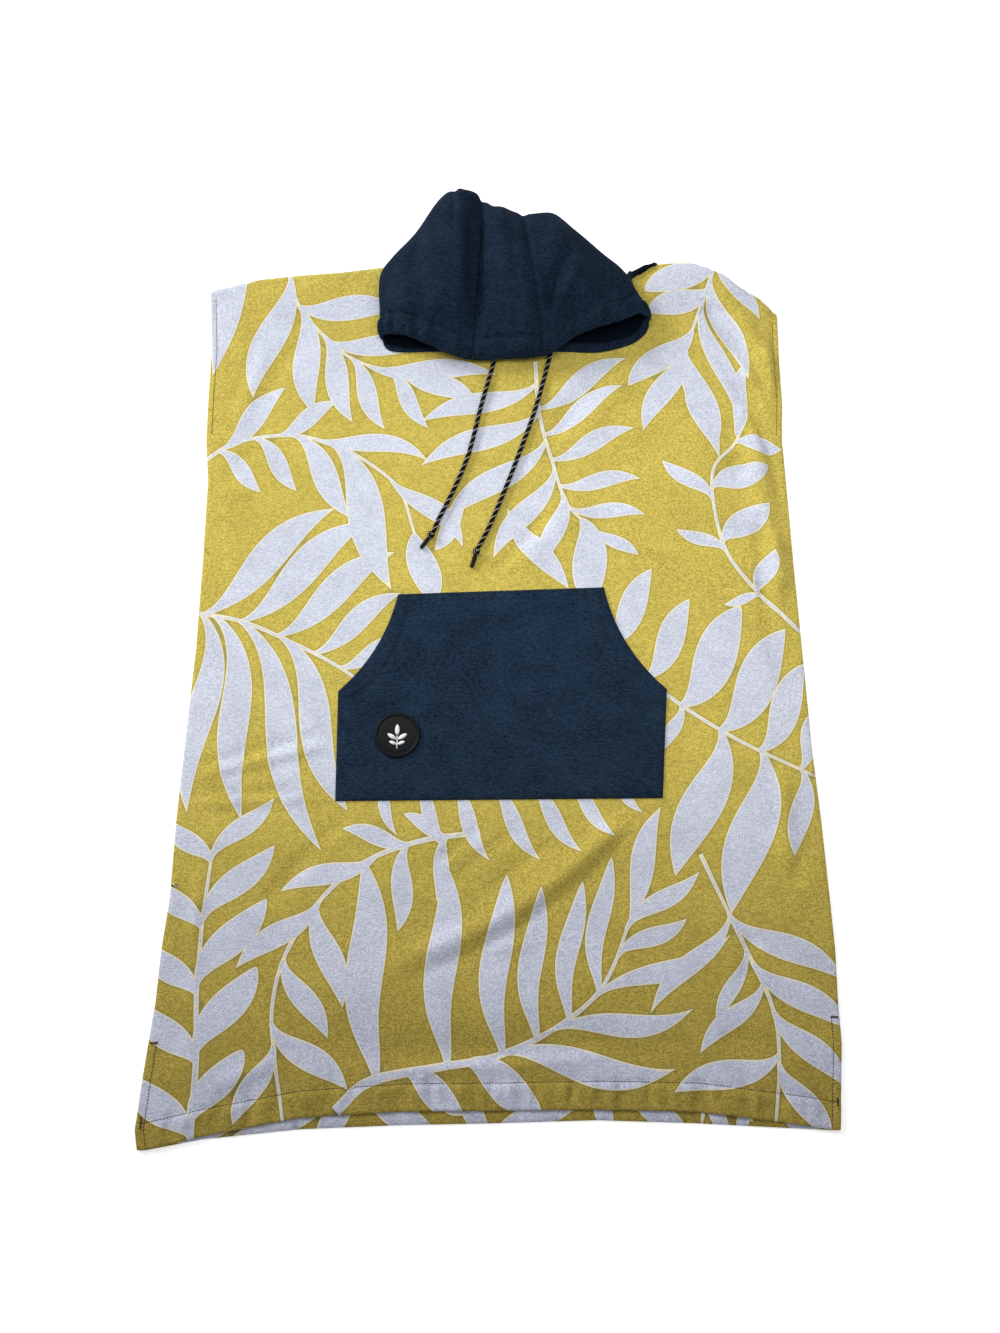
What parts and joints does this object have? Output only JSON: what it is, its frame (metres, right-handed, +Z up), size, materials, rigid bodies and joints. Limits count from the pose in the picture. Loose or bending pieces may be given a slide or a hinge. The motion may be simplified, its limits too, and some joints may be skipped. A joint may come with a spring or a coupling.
{
  "type": "hooded bath poncho",
  "caption": "Hooded towelling poncho laid flat, with a wide front pocket, a round patch, open arm slits and a drawcord hood flopped forward.",
  "frame": {"origin": "on the surface the garment lies on, under the middle of its outline", "axes": "+X towards the garment's side without the patch, +Y from the hem to the hood, +Z up from the surface, out of the front panel"},
  "size_m": [0.775, 1.1848, 0.0851],
  "materials": {
    "printed_towelling": "short-pile printed towelling, mustard yellow with pale leaves",
    "navy_fleece": "brushed navy fleece with a fine heather",
    "black_rubber": "moulded rubber, soft sheen",
    "cord_braid": "dark brown braid with thin pale flecks",
    "cord_end": "sealed end, matt black"
  },
  "bodies": {
    "root": {"back_panel": "printed_towelling", "front_panel": "printed_towelling", "hood_left": "navy_fleece", "hood_centre": "navy_fleece", "hood_right": "navy_fleece", "pocket": "navy_fleece", "badge": "black_rubber", "drawcord_left": "cord_braid", "drawcord_right": "cord_braid", "knot_left": "cord_braid", "knot_right": "cord_braid", "tip_left": "cord_end", "tip_right": "cord_end"}
  },
  "joints": []
}
